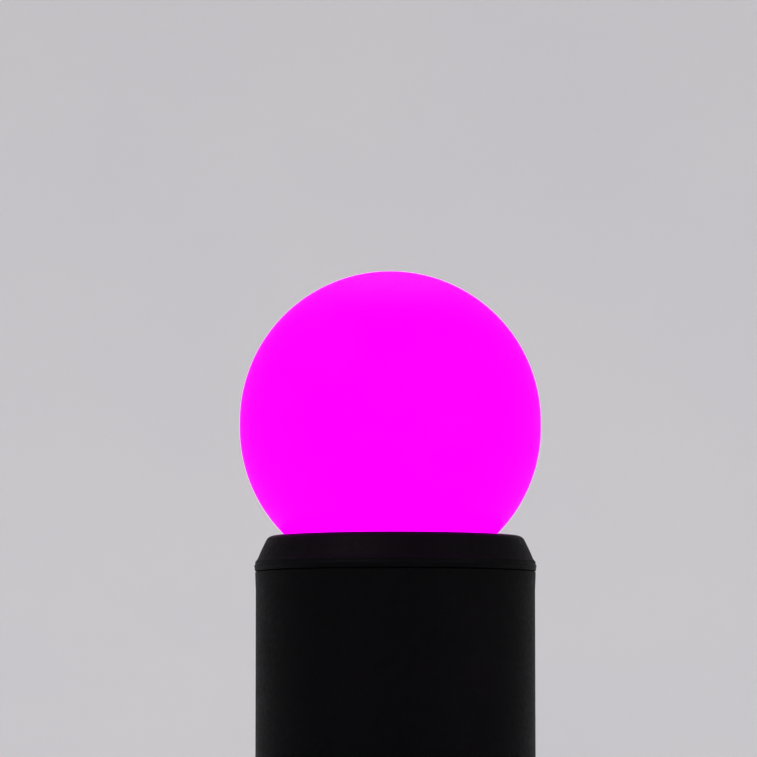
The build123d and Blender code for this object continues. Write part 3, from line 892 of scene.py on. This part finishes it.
def emboss(material, mask, height, strength=1.0):
    """Raises a finish by a height in millimetres where a mask is 1."""
    normal = shader_of(material).inputs["Normal"]
    raised = add_node(
        material,
        "ShaderNodeBump",
        {
            "Height": mask,
            "Distance": height * MM,
            "Strength": strength,
            "Normal": normal.links[0].from_socket,
        },
    ).outputs["Normal"]
    material.node_tree.links.new(raised, normal)


def ring_tracks(material, pitch, share):
    """Round tracks about the board's centre, a pitch apart in millimetres. Returns a mask."""
    flat = add_node(
        material, "ShaderNodeMapping", {"Vector": place_on(material), "Scale": (1, 1, 0)}
    )
    reach = add_node(
        material,
        "ShaderNodeVectorMath",
        {0: flat.outputs["Vector"]},
        operation="LENGTH",
    ).outputs["Value"]
    turns = add_node(
        material, "ShaderNodeMath", {0: reach, 1: 1 / (pitch * MM)}, operation="MULTIPLY"
    ).outputs["Value"]
    part = add_node(material, "ShaderNodeMath", {0: turns}, operation="FRACT").outputs["Value"]
    return add_node(
        material, "ShaderNodeMath", {0: part, 1: share}, operation="GREATER_THAN"
    ).outputs["Value"]


# White solder mask over copper on aluminium: chalk white and half-matt, with the copper's round
# tracks standing up under it as faint rings.
white_mask = surface(
    "white_solder_mask", "#f1f1ee", "#e9e9e4", rough=0.4, grain=0.3, relief=0.003
)
emboss(white_mask, ring_tracks(white_mask, pitch=4.2, share=0.18), height=0.05, strength=0.7)
dress(white_mask, "led_board")

# LED package: a white reflector frame, and above it the phosphor or clear gel over the chips.
led_top = node_box("white_leds")[1].z
colour_led_top = node_box("colour_leds")[1].z


def height_on(material):
    """How high a point of the surface is, in metres."""
    return add_node(
        material, "ShaderNodeSeparateXYZ", {"Vector": place_on(material)}
    ).outputs["Z"]


def led_finish(name, lens_shade, lens_from):
    """White package plastic below a height in millimetres, and a glossy lens above it."""
    material = surface(name, "#f4f3ee", "#eceade", rough=0.32, grain=0.3, relief=0.003)
    lens_foot = lens_from * MM
    lens = mask_between(material, height_on(material), lens_foot, lens_foot + 0.001 * MM)
    overlay(material, lens, lens_shade)
    return material


dress(led_finish("white_led_phosphor", "#e8c92e", led_top - 0.15), "white_leds")
dress(led_finish("colour_led_gel", "#b9b6c9", colour_led_top - 0.18), "colour_leds")

# ---------------------------------------------------------------- driver and radio boards
# Fibreglass boards with green solder mask. The driver board turns the mains into LED current,
# and the radio board carries its aerial up into the globe, clear of the metal.


def board_face(material):
    """The flat face of an upright board: across it, and up it."""
    return add_node(
        material,
        "ShaderNodeMapping",
        {"Vector": place_on(material), "Rotation": (math.pi / 2, 0, 0)},
    ).outputs["Vector"]


def islands(material, face, size, share):
    """Copper left in islands with straight and slanting edges, of a size in millimetres. About
    that share of them is copper. Returns a mask."""
    cells = add_node(
        material,
        "ShaderNodeTexVoronoi",
        {"Vector": face, "Scale": 1 / (size * MM)},
        voronoi_dimensions="2D",
        distance="MANHATTAN",
    ).outputs["Color"]
    level = add_node(material, "ShaderNodeSeparateColor", {"Color": cells}).outputs["Red"]
    return mask_between(material, level, 1.0 - share, 1.001 - share)


def tracks(material, face, size, width):
    """Narrow tracks round cells of a size in millimetres. Returns a mask."""
    reach = [
        add_node(
            material,
            "ShaderNodeTexVoronoi",
            {"Vector": face, "Scale": 1 / (size * MM)},
            voronoi_dimensions="2D",
            distance="CHEBYCHEV",
            feature=feature,
        ).outputs["Distance"]
        for feature in ("F1", "F2")
    ]
    gap = add_node(
        material, "ShaderNodeMath", {0: reach[1], 1: reach[0]}, operation="SUBTRACT"
    ).outputs["Value"]
    return mask_between(material, gap, width / size * 1.1, width / size)


def vias(material, face, pitch, radius, share):
    """Round plated holes on a square grid, where about that share of the grid has one."""
    grid = add_node(
        material,
        "ShaderNodeTexVoronoi",
        {"Vector": face, "Scale": 1 / (pitch * MM), "Randomness": 0.0},
        voronoi_dimensions="2D",
    )
    level = add_node(
        material, "ShaderNodeSeparateColor", {"Color": grid.outputs["Color"]}
    ).outputs["Green"]
    chosen = mask_between(material, level, 1.0 - share, 1.001 - share)
    edge = radius / pitch
    dot = mask_between(material, grid.outputs["Distance"], edge * 1.1, edge)
    return add_node(
        material, "ShaderNodeMath", {0: dot, 1: chosen}, operation="MULTIPLY"
    ).outputs["Value"]


def green_board(name, copper_top):
    """FR4 fibreglass with green solder mask: glossy deep green, lighter and a little proud where
    copper lies under the mask, with small tinned holes that join the copper of the two faces.
    There is no copper above a height in millimetres."""
    board = surface(
        name, "#0f5a2e", "#0c4d27", rough=0.28, grain=0.25, relief=0.006, patch=5.0
    )
    edge = copper_top * MM
    coppered = mask_between(board, height_on(board), edge, edge - 0.01 * MM)
    face = board_face(board)
    etched = add_node(
        board,
        "ShaderNodeMath",
        {
            0: islands(board, face, size=4.0, share=0.42),
            1: tracks(board, face, size=2.6, width=0.22),
        },
        operation="MAXIMUM",
    ).outputs["Value"]
    copper_under, holes = [
        add_node(
            board, "ShaderNodeMath", {0: mask, 1: coppered}, operation="MULTIPLY"
        ).outputs["Value"]
        for mask in (etched, vias(board, face, pitch=1.9, radius=0.34, share=0.3))
    ]
    overlay(board, copper_under, "#2b8346")
    overlay(board, holes, "#b9bbbd")
    emboss(board, copper_under, height=0.05)
    board.node_tree.links.new(holes, shader_of(board).inputs["Metallic"])
    return board


# The radio board has no copper beside its aerial, which would spoil it.
board_low, board_high = node_box("driver_board")
dress(green_board("green_mask_on_driver_board", copper_top=board_high.z + 1), "driver_board")
aerial_foot = node_box("radio_aerial")[0].z
dress(green_board("green_mask_on_radio_board", copper_top=aerial_foot - 0.6), "radio_board")

# Copper foil, bare and etched: salmon pink with a faint brown bloom.
copper = surface(
    "etched_copper_foil", "#d98e63", "#b87147", rough=0.3, grain=0.3, relief=0.003, metallic=1.0
)
dress(copper, "radio_aerial")

# Filled epoxy, transfer moulded: near-black and matt, with the fine pits of the mould.
chip_epoxy = surface(
    "moulded_chip_epoxy", "#18181a", "#1e1e20", rough=0.62, grain=0.25, relief=0.015
)
dress(chip_epoxy, "bridge_rectifier", "control_chip", "board_header")

# Dipped epoxy: a thick, glossy blue coat with soft waves.
dipped_epoxy = surface(
    "dipped_blue_epoxy", "#1f4fa3", "#1a4590", rough=0.2, grain=1.6, relief=0.06, swing=0.05
)
dress(dipped_epoxy, "surge_varistor", "fuse_resistor")

# Manganese-zinc ferrite, sintered and ground: dark grey and slightly granular.
ferrite = surface(
    "sintered_ferrite", "#33343a", "#2b2c31", rough=0.55, grain=0.35, relief=0.02
)
dress(ferrite, "transformer_core", "filter_choke")

# Polyester tape, wound over the coil: clear yellow, glossy, with the edge of each layer showing.
coil_tape = surface(
    "yellow_polyester_tape",
    "#e2b51e",
    "#d9a915",
    rough=0.26,
    grain=0.8,
    relief=0.03,
    stretch=(1, 1, 5),
)
dress(coil_tape, "transformer_coil")

# PVC insulation: soft red plastic with a low sheen.
lead_sleeve = surface(
    "red_pvc_sleeve", "#b3201c", "#a61b18", rough=0.4, grain=0.5, relief=0.01
)
dress(lead_sleeve, "centre_lead", "shell_lead")


# ---------------------------------------------------------------- driver capacitors
# Aluminium cans in a shrunk plastic sleeve. Each can is rolled in round its rubber bung near the
# board, and its bare top is scored with a cross so that it can vent.
def capacitor(name, cad_node):
    """An electrolytic capacitor that fills the box of its CAD node: its sleeve and its can."""
    low, high = node_box(cad_node)
    radius = (high.x - low.x) / 2
    tall = high.z - low.z
    can = turned(
        name + "_can",
        [
            (radius * 0.5, 0.05),
            (radius * 0.9, 0.05),
            (radius * 0.93, tall - 0.5),
            *arc(radius * 0.93 - 0.4, tall - 0.45, 0.4, 0, 80, 5),
            (radius * 0.5, tall - 0.12),
            (radius * 0.05, tall - 0.12),
        ],
        form="solid",
        sides=48,
    )
    for wide, deep in ((radius, 0.35), (0.35, radius)):
        select_only()
        bpy.ops.mesh.primitive_cube_add(size=1, location=(0, 0, (tall - 0.12) * MM))
        score = bpy.context.object
        score.scale = (wide * MM, deep * MM, 0.3 * MM)
        set_in_place(score)
        apply_modifier(can, "BOOLEAN", object=score, operation="DIFFERENCE", solver="EXACT")
        bpy.data.objects.remove(score)
    smooth(can, 40)
    sleeve = turned(
        name + "_sleeve",
        [
            (radius * 0.86, 0.0),
            (radius - 0.15, 0.0),
            (radius, 0.15),
            (radius, 1.3),
            (radius - 0.35, 1.7),
            (radius - 0.35, 2.0),
            (radius, 2.4),
            (radius, tall - 0.5),
            *arc(radius - 0.5, tall - 0.5, 0.5, 0, 90, 5)[1:],
            (radius * 0.72, tall),
            (radius * 0.72, tall - 0.1),
            (radius - 0.5, tall - 0.12),
            (radius * 0.94, tall - 0.6),
            (radius * 0.91, 0.3),
        ],
        sides=48,
    )
    smooth(sleeve, 40)
    for piece in (can, sleeve):
        piece.location = ((low.x + high.x) / 2 * MM, (low.y + high.y) / 2 * MM, low.z * MM)
        set_in_place(piece)
        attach(piece, "bulb")
    finish(can, pressed_aluminium)
    finish(sleeve, can_sleeve)
    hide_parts(cad_node)


# Shrunk PVC sleeve: black and glossy, with the slow waves of the shrinking.
can_sleeve = surface(
    "shrunk_black_sleeve", "#14161c", "#191b22", rough=0.22, grain=1.2, relief=0.02
)
capacitor("input_capacitor", "input_capacitor")
capacitor("output_capacitor", "output_capacitor")

# ---------------------------------------------------------------- choke winding and solder
# Enamelled copper wire is wound round the ferrite drum of the choke, and the legs of the parts
# end in cones of solder on the back of the driver board.
choke_low, choke_high = node_box("filter_choke")
choke_x, choke_y = (choke_low.x + choke_high.x) / 2, (choke_low.y + choke_high.y) / 2
drum_radius, wire = 1.95, 0.3
winding_low, winding_high = choke_low.z + 1.0, choke_high.z - 1.0
wire_turns = int((winding_high - winding_low) / wire)
winding_profile = [(drum_radius, winding_low), (drum_radius + 0.2, winding_low)]
for n in range(wire_turns):
    middle = winding_low + (n + 0.5) * (winding_high - winding_low) / wire_turns
    winding_profile += arc(drum_radius + 0.25, middle, wire / 2, -75, 75, 6)
winding_profile += [(drum_radius + 0.2, winding_high), (drum_radius, winding_high)]
winding = turned("choke_winding", winding_profile, sides=48)
winding.location = (choke_x * MM, choke_y * MM, 0)
set_in_place(winding)
smooth(winding, 60)

# Enamelled copper wire: clear brown varnish over copper, glossy.
enamelled_wire = surface(
    "enamelled_copper_wire",
    "#a5532a",
    "#8f4522",
    rough=0.22,
    grain=0.4,
    relief=0.004,
    metallic=1.0,
)
finish(winding, enamelled_wire)
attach(winding, "bulb")

joint = turned(
    "joint",
    [(0.75, 0.0), (0.62, 0.1), (0.36, 0.34), (0.24, 0.7), (0.08, 0.82)],
    form="solid",
    sides=20,
)
joint.rotation_euler = (math.pi / 2, 0, 0)
set_in_place(joint)
smooth(joint, 60)
# Where the legs come through the board: across it, and up it.
legs = [
    (-1.2, 40.5),
    (1.2, 40.5),
    (-6.6, 39.6),
    (-6.6, 47.2),
    (6.5, 39.4),
    (6.5, 48.8),
    (3.2, 54.2),
    (8.0, 54.2),
    (-6.8, 51.0),
    (-4.6, 51.0),
    (-3.5, 64.5),
    (-3.5, 72.5),
    (5.6, 64.5),
    (5.6, 68.5),
    (5.6, 72.5),
]
joints = [
    copy_at(joint, f"joint_{n}", x, board_low.y, z) for n, (x, z) in enumerate(legs)
]
bpy.data.objects.remove(joint)
solder_joints = join(joints, "driver_solder_joints")
finish(solder_joints, solder)
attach(solder_joints, "bulb")

# ---------------------------------------------------------------- chip legs
# The rectifier and the control chip are soldered flat on the back of the driver board. Their bent
# legs are stamped from thin strip, leave the chip half way up its side and end flat on the board.
rectifier_low, rectifier_high = node_box("bridge_rectifier")
chip_low, chip_high = node_box("control_chip")
leg_thick, leg_reach, leg_rise = 0.2, 1.05, 0.75


def on_board_back(pieces, name):
    """Joins pieces that were laid out flat, with the board's height along Y, and stands them on
    the back of the driver board."""
    group = join(pieces, name)
    group.rotation_euler = (math.pi / 2, 0, 0)
    group.location = (0, board_low.y * MM, 0)
    set_in_place(group)
    return group


def stamped_leg(width):
    """A bent leg at the origin, flat on the board, that runs out towards +Y."""
    select_only()
    bpy.ops.mesh.primitive_plane_add(size=1)
    leg = bpy.context.object
    leg.scale = (width * MM, 0.2 * MM, 1)
    leg.location = (0, -0.1 * MM, leg_rise * MM)
    set_in_place(leg)
    bpy.ops.object.mode_set(mode="EDIT")
    bpy.ops.mesh.select_all(action="DESELECT")
    bpy.ops.mesh.select_mode(type="EDGE")
    bpy.ops.object.mode_set(mode="OBJECT")
    for edge in leg.data.edges:
        edge.select = all(leg.data.vertices[v].co.y > -0.01 * MM for v in edge.vertices)
    bpy.ops.object.mode_set(mode="EDIT")
    for out, up in ((0.3, 0.0), (0.25, leg_thick / 2 - leg_rise), (leg_reach - 0.55, 0.0)):
        bpy.ops.mesh.extrude_region_move(
            TRANSFORM_OT_translate={"value": (0, out * MM, up * MM)}
        )
    bpy.ops.mesh.select_all(action="SELECT")
    bpy.ops.mesh.normals_make_consistent(inside=False)
    bpy.ops.mesh.select_mode(type="VERT")
    bpy.ops.object.mode_set(mode="OBJECT")
    apply_modifier(
        leg, "SOLIDIFY", thickness=leg_thick * MM, offset=0.0, use_even_offset=True
    )
    soften(leg, 0.04)
    return leg


def chip_leg_row(low, high, count, pitch, width):
    """Legs along the lower and upper sides of a chip with these corners."""
    leg = stamped_leg(width)
    middle = (low.x + high.x) / 2
    row = []
    for n in range(count):
        along = middle + (n - (count - 1) / 2) * pitch
        row.append(copy_at(leg, "leg_up", along, high.z))
        row.append(copy_at(leg, "leg_down", along, low.z, turn=180))
    bpy.data.objects.remove(leg)
    return row


legs_of_chips = chip_leg_row(rectifier_low, rectifier_high, count=2, pitch=2.5, width=0.65)
legs_of_chips += chip_leg_row(chip_low, chip_high, count=4, pitch=1.27, width=0.42)
chip_legs = on_board_back(legs_of_chips, "chip_legs")
finish(chip_legs, tinned)
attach(chip_legs, "bulb")

# ---------------------------------------------------------------- chip resistors
# Small resistors soldered flat beside the chips. Each is a slip of white ceramic with a black
# glazed track on its outer face, and a tinned cap over each end.
resistor_long, resistor_wide, resistor_thick = 2.0, 1.25, 0.5
end_cap = 0.35
# Across the board, up it, and the turn of the resistor.
resistor_places = [
    (3.0, 58.4, 0),
    (3.0, 60.4, 0),
    (3.0, 62.4, 0),
    (-7.2, 57.4, 0),
    (-7.2, 59.4, 0),
    (-7.2, 61.4, 0),
    (0.2, 52.4, 90),
    (2.0, 50.4, 90),
    (-1.6, 69.0, 0),
    (-1.6, 71.0, 0),
    (1.6, 70.0, 90),
]


def small_block(name, long, wide, thick, middle, edge):
    """A block that lies on the board at the origin, with softened edges."""
    select_only()
    bpy.ops.mesh.primitive_cube_add(size=1)
    block = bpy.context.object
    block.name = name
    block.scale = (long * MM, wide * MM, thick * MM)
    block.location = (middle * MM, 0, thick / 2 * MM)
    set_in_place(block)
    soften(block, edge)
    return block


slip = small_block(
    "slip", resistor_long - 0.1, resistor_wide - 0.06, resistor_thick - 0.05, 0, 0.03
)
cap_place = (resistor_long - end_cap) / 2
caps = [
    small_block("cap", end_cap, resistor_wide, resistor_thick, side * cap_place, 0.08)
    for side in (-1, 1)
]
cap_pair = join(caps, "cap_pair")
slips = [copy_at(slip, "slip_copy", x, z, turn=turn) for x, z, turn in resistor_places]
cap_pairs = [copy_at(cap_pair, "pair_copy", x, z, turn=turn) for x, z, turn in resistor_places]
bpy.data.objects.remove(slip)
bpy.data.objects.remove(cap_pair)
resistor_slips = on_board_back(slips, "chip_resistor_slips")
resistor_caps = on_board_back(cap_pairs, "chip_resistor_caps")

# Alumina ceramic with a black glass glaze fired on its outer face: white sides, glossy black top.
glazed_slip = surface(
    "black_glazed_alumina", "#101012", "#17171a", rough=0.24, grain=0.3, relief=0.01, patch=1.0
)
depth = add_node(
    glazed_slip, "ShaderNodeSeparateXYZ", {"Vector": place_on(glazed_slip)}
).outputs["Y"]
glaze_foot = (board_low.y - resistor_thick + 0.15) * MM
bare = mask_between(glazed_slip, depth, glaze_foot, glaze_foot + 0.01 * MM)
overlay(glazed_slip, bare, "#e8e8e4")
finish(resistor_slips, glazed_slip)
finish(resistor_caps, tinned)
for piece, slot in ((resistor_slips, "chip_black"), (resistor_caps, "tinned_steel")):
    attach(piece, "bulb")

# ---------------------------------------------------------------- floor and backdrop
# A pale floor that runs far out and then rises all round, so that no edge of it shows. Seen from
# below it is clear, so that the underside of the object can be looked at.
flat_reach, sweep, wall_top = 2200, 900, 2600
floor_drop = 0.02  # keeps the feet from sharing a face with the floor
floor = turned(
    "studio_floor",
    [(60, -floor_drop), (500, -floor_drop), (flat_reach, -floor_drop)]
    + arc(flat_reach, sweep, sweep, -90, 0, 16)[1:]
    + [(flat_reach + sweep, wall_top)],
    form="solid",
    sides=96,
)
bpy.context.view_layer.objects.active = floor
bpy.ops.object.mode_set(mode="EDIT")
bpy.ops.mesh.select_all(action="DESELECT")
bpy.ops.object.mode_set(mode="OBJECT")
for face in floor.data.polygons:
    face.select = face.center.z > (wall_top - 10) * MM
bpy.ops.object.mode_set(mode="EDIT")
bpy.ops.mesh.delete(type="FACE")
bpy.ops.mesh.select_all(action="SELECT")
bpy.ops.mesh.normals_make_consistent(inside=True)
bpy.ops.object.mode_set(mode="OBJECT")
smooth(floor, 60)

# Seamless studio paper: pale, dead matt.
paper = surface(
    "pale_studio_paper",
    "#e6e5e6",
    "#e4e3e5",
    rough=0.9,
    grain=3.0,
    relief=0.0,
    patch=300.0,
    extra={"Specular IOR Level": 0.1},
)
behind = add_node(paper, "ShaderNodeNewGeometry").outputs["Backfacing"]
clear = add_node(paper, "ShaderNodeBsdfTransparent").outputs["BSDF"]
seen = add_node(
    paper,
    "ShaderNodeMixShader",
    {0: behind, 1: shader_of(paper).outputs["BSDF"], 2: clear},
).outputs["Shader"]
paper_surface = paper.node_tree.nodes["Material Output"].inputs["Surface"]
paper.node_tree.links.new(seen, paper_surface)
finish(floor, paper)


# ---------------------------------------------------------------- lights and camera
# Large soft lights from the front and the sides. The camera has a long lens and looks up a
# little, from below the holder's rim, so that the rim hides the bulb's neck.
def soft_light(name, place, width, watts):
    """A square light that faces the middle of the object, its width and place in metres."""
    lamp = bpy.data.lights.new(name, "AREA")
    lamp.shape, lamp.size, lamp.energy = "SQUARE", width, watts
    light = bpy.data.objects.new(name, lamp)
    bpy.context.scene.collection.objects.link(light)
    light.location = place
    towards = Vector((0, 0, 0.08)) - Vector(place)
    light.rotation_euler = towards.to_track_quat("-Z", "Y").to_euler()


soft_light("key_light", (-1.1, -1.2, 1.5), 1.0, 26)
soft_light("fill_light", (1.4, -0.9, 0.9), 1.2, 12)
soft_light("back_light", (0.0, 1.3, 2.1), 1.2, 16)

world = bpy.data.worlds.new("studio_air")
world.use_nodes = True
air = world.node_tree.nodes["Background"]
air.inputs["Color"].default_value = linear("#eceaee")
air.inputs["Strength"].default_value = 0.55
bpy.context.scene.world = world
bpy.context.scene.view_settings.view_transform = "Standard"

view_width = 151.1  # of the scene, at the object, in millimetres
camera_distance, camera_height = 800.0, 56.0
camera_x, view_centre_z = -2.36, 119.5
lens = bpy.data.cameras.new("long_lens")
lens.sensor_width = 36.0
lens.clip_start, lens.clip_end = 0.01, 20.0
camera = bpy.data.objects.new("camera", lens)
bpy.context.scene.collection.objects.link(camera)
camera.location = (camera_x * MM, -camera_distance * MM, camera_height * MM)
aim = Vector((camera_x * MM, 0, view_centre_z * MM)) - camera.location
lens.lens = lens.sensor_width * aim.length / (view_width * MM)
camera.rotation_euler = aim.to_track_quat("-Z", "Y").to_euler()
bpy.context.scene.camera = camera

bpy.context.view_layer.update()
